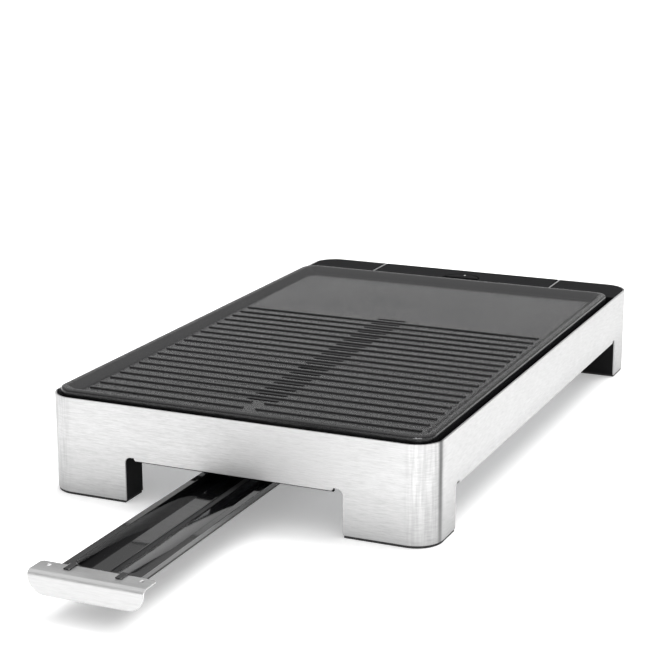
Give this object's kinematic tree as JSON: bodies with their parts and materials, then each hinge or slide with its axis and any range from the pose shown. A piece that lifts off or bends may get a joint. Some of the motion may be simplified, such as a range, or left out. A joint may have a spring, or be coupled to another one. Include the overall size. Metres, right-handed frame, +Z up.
{
  "type": "electric table griddle",
  "caption": "Low rectangular electric griddle: ribbed lift-off plate in a steel band on corner legs, plug-in control at the rear, drip tray pulled out at the front.",
  "frame": {"origin": "on the table plane, under the middle of the steel band", "axes": "+X across the width, +Y from the drip tray's end towards the control end, +Z up"},
  "size_m": [0.33, 0.7588, 0.0853],
  "materials": {
    "brushed_steel": "fine horizontal brushing, satin",
    "black_plastic": "fine satin grain",
    "sheet_steel": "galvanised sheet, dull",
    "screw_steel": "zinc plated",
    "reflector": "bright rolled sheet",
    "foot_rubber": "matt",
    "rest_silicone": "matt",
    "coated_aluminium": "cast, dark non-stick coating with a fine speckle",
    "element_sheath": "heat-darkened tube",
    "probe_steel": "polished tube",
    "contact_brass": "plain",
    "ceramic": "unglazed",
    "socket_plastic": "moulded phenolic",
    "lamp_glass": "small neon bulb",
    "lens_plastic": "clear red",
    "marker_paint": "white",
    "black_enamel": "gloss enamel",
    "handle_steel": "satin"
  },
  "bodies": {
    "base": {"steel_shell": "brushed_steel", "base_frame": "black_plastic", "rear_deck_left": "black_plastic", "rear_deck_right": "black_plastic", "bottom_pan": "sheet_steel", "pan_screws": "screw_steel", "heat_shield": "reflector", "shield_spacers": "sheet_steel", "shield_screws": "screw_steel", "tray_rail_left": "sheet_steel", "tray_rail_right": "sheet_steel", "rail_rivets": "sheet_steel", "foot_pads": "foot_rubber", "plate_rests": "rest_silicone"},
    "plate": {"grill_plate": "coated_aluminium", "heating_element": "element_sheath", "element_clips": "sheet_steel", "clip_screws": "screw_steel", "terminal_pins": "contact_brass", "terminal_insulators": "ceramic", "terminal_guard": "black_plastic", "guard_screws": "screw_steel"},
    "control_unit": {"control_base": "black_plastic", "control_top": "black_plastic", "socket_block": "socket_plastic", "socket_sleeves": "contact_brass", "thermostat_probe": "probe_steel", "thermostat_switch": "ceramic", "lead_strips": "contact_brass", "pilot_lamp": "lamp_glass", "lamp_lens": "lens_plastic", "cord_gland": "foot_rubber", "case_screws": "screw_steel"},
    "dial": {"temperature_dial": "black_plastic", "dial_marker": "marker_paint", "dial_shaft": "screw_steel"},
    "tray": {"drip_tray": "black_enamel", "tray_handle": "handle_steel"}
  },
  "joints": [
    {"name": "tray_slide", "type": "slide", "parent": "base", "child": "tray", "axis": [0, -1, 0], "range_m": [-0.212, 0.17]},
    {"name": "plate_lift", "type": "slide", "parent": "base", "child": "plate", "axis": [0, 0, 1], "range_m": [0, 0.095]},
    {"name": "control_unplug", "type": "slide", "parent": "plate", "child": "control_unit", "axis": [0, 1, 0], "range_m": [0, 0.14]},
    {"name": "dial_turn", "type": "hinge", "parent": "control_unit", "child": "dial", "pos_m": [0, 0.2387, 0.078], "axis": [0, 0, 1], "range_deg": [-240, 0]}
  ]
}
